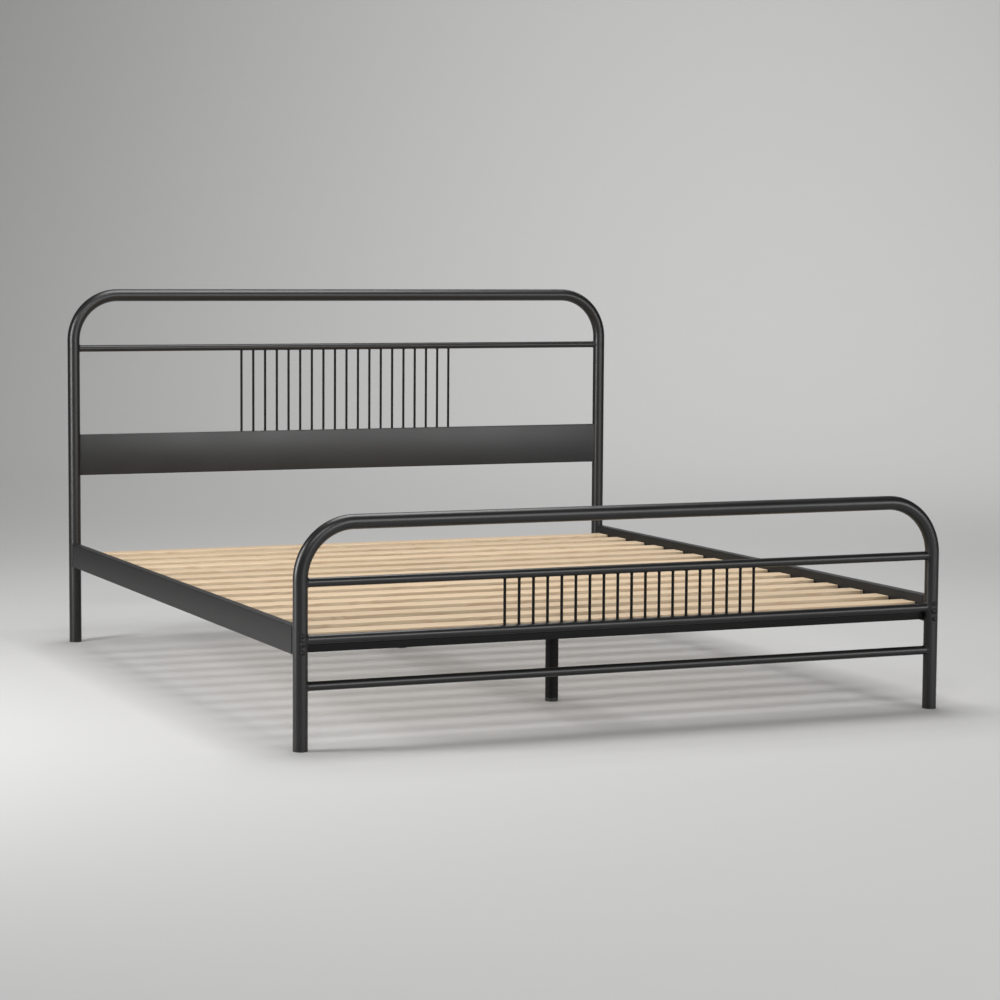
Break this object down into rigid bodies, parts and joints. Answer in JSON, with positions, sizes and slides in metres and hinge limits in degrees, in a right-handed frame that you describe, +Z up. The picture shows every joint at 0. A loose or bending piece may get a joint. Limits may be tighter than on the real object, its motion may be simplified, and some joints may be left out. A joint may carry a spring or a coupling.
{
  "type": "metal bed frame",
  "caption": "Spindle-style metal bed frame with a tall rounded headboard, a low rounded footboard, side rails, a slatted deck and centre legs with levelling feet.",
  "frame": {"origin": "on the floor at the bed's middle, halfway between the four posts", "axes": "+Z up, +Y from the foot towards the headboard, +X to the right as seen from the foot"},
  "size_m": [1.965, 2.2798, 1.173],
  "materials": {
    "frame_steel": "satin charcoal powder coat",
    "rail_fasteners": "black oxide",
    "plated_fasteners": "zinc plated",
    "black_plastic": "moulded",
    "slat_wood": "planed pine, unvarnished"
  },
  "bodies": {
    "frame": {"headboard_frame": "frame_steel", "headboard_rail": "frame_steel", "headboard_spindles": "frame_steel", "headboard_panel": "frame_steel", "head_cross_rail": "frame_steel", "footboard_frame": "frame_steel", "footboard_upper_rail": "frame_steel", "footboard_spindles": "frame_steel", "footboard_middle_rail": "frame_steel", "footboard_lower_rail": "frame_steel", "foot_cross_rail": "frame_steel", "side_rail_left": "frame_steel", "side_rail_right": "frame_steel", "rail_end_plates": "frame_steel", "slat_ledge_left": "frame_steel", "slat_ledge_right": "frame_steel", "centre_rail": "frame_steel", "leg_plate_front": "frame_steel", "leg_plate_rear": "frame_steel", "centre_leg_front": "frame_steel", "centre_leg_rear": "frame_steel", "rail_bolts": "rail_fasteners", "bolt_washers": "rail_fasteners", "rail_screws": "rail_fasteners", "screw_washers": "rail_fasteners", "bolt_nuts": "plated_fasteners", "screw_nuts": "plated_fasteners", "centre_rail_bolts": "plated_fasteners", "centre_rail_nuts": "plated_fasteners", "leg_screws": "plated_fasteners", "leg_nuts": "plated_fasteners", "slat_screws": "plated_fasteners", "post_saddles": "black_plastic", "post_caps": "black_plastic", "leg_insert_front": "black_plastic", "leg_insert_rear": "black_plastic", "slat_01": "slat_wood", "slat_02": "slat_wood", "slat_03": "slat_wood", "slat_04": "slat_wood", "slat_05": "slat_wood", "slat_06": "slat_wood", "slat_07": "slat_wood", "slat_08": "slat_wood", "slat_09": "slat_wood", "slat_10": "slat_wood", "slat_11": "slat_wood", "slat_12": "slat_wood", "slat_13": "slat_wood", "slat_14": "slat_wood", "slat_15": "slat_wood"},
    "front_leveller": {"leveller_front": "black_plastic"},
    "rear_leveller": {"leveller_rear": "black_plastic"}
  },
  "joints": [
    {"name": "front_leveller_slide", "type": "slide", "parent": "frame", "child": "front_leveller", "axis": [0, 0, -1], "range_m": [0, 0.012]},
    {"name": "rear_leveller_slide", "type": "slide", "parent": "frame", "child": "rear_leveller", "axis": [0, 0, -1], "range_m": [0, 0.012]}
  ]
}
